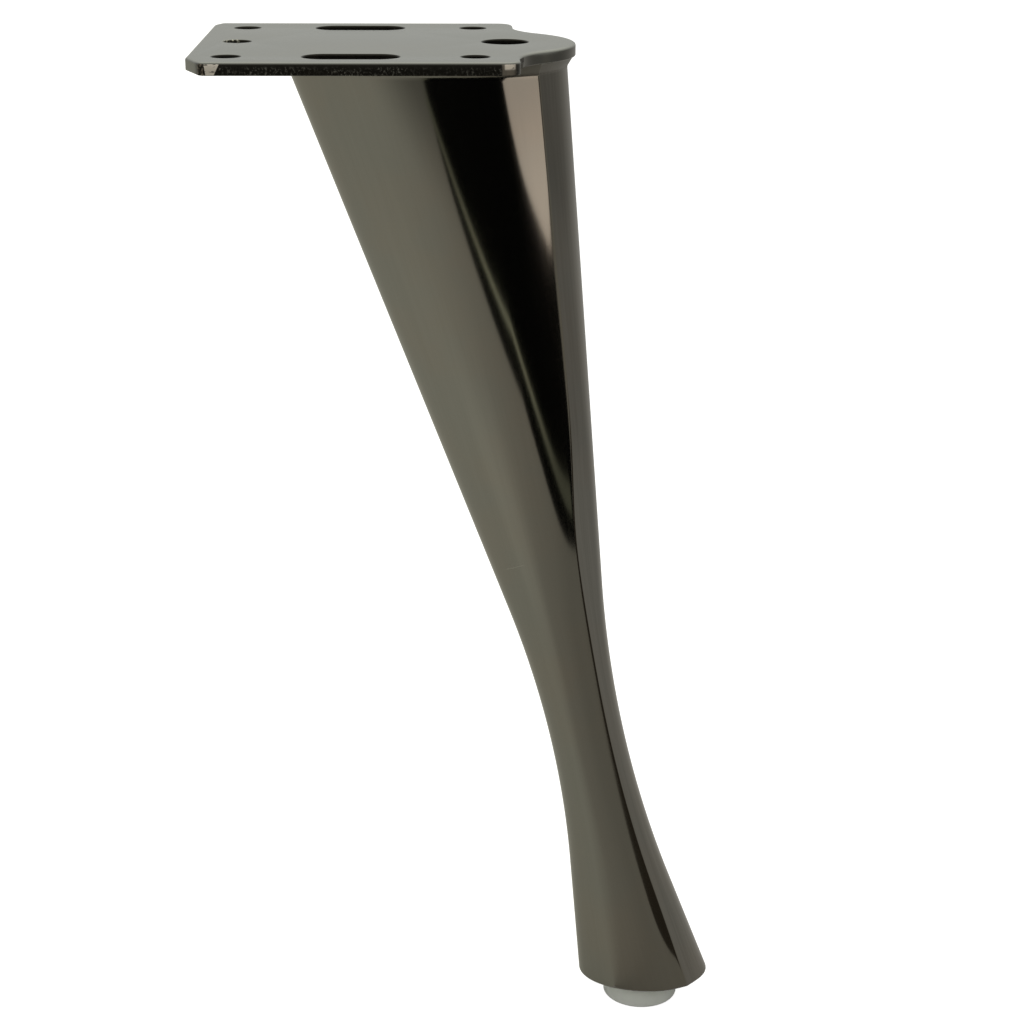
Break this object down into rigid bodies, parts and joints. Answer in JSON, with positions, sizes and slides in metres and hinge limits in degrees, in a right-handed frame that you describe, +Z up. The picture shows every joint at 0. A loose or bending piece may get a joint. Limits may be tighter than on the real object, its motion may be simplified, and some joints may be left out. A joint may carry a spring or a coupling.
{
  "type": "furniture leg",
  "caption": "Splayed hollow steel furniture leg, waisted oval section with a creased nose strip, screw-on top plate and a plastic foot pad.",
  "frame": {"origin": "middle of the four corner screw holes, on the top face of the mounting plate", "axes": "+Z up out of the plate's top face, +X towards the round nose that the leg splays to, Y across the plate, the leg hanging down along -Z"},
  "size_m": [0.0997, 0.06, 0.2],
  "materials": {
    "plated_plate": "pressed steel with a dark polished nickel plating",
    "plated_shell": "polished sheet steel with a dark nickel plating",
    "clear_plastic": "milky translucent moulded plastic"
  },
  "bodies": {
    "root": {"mounting_plate": "plated_plate", "leg_shell": "plated_shell", "foot_plug": "clear_plastic"}
  },
  "joints": []
}
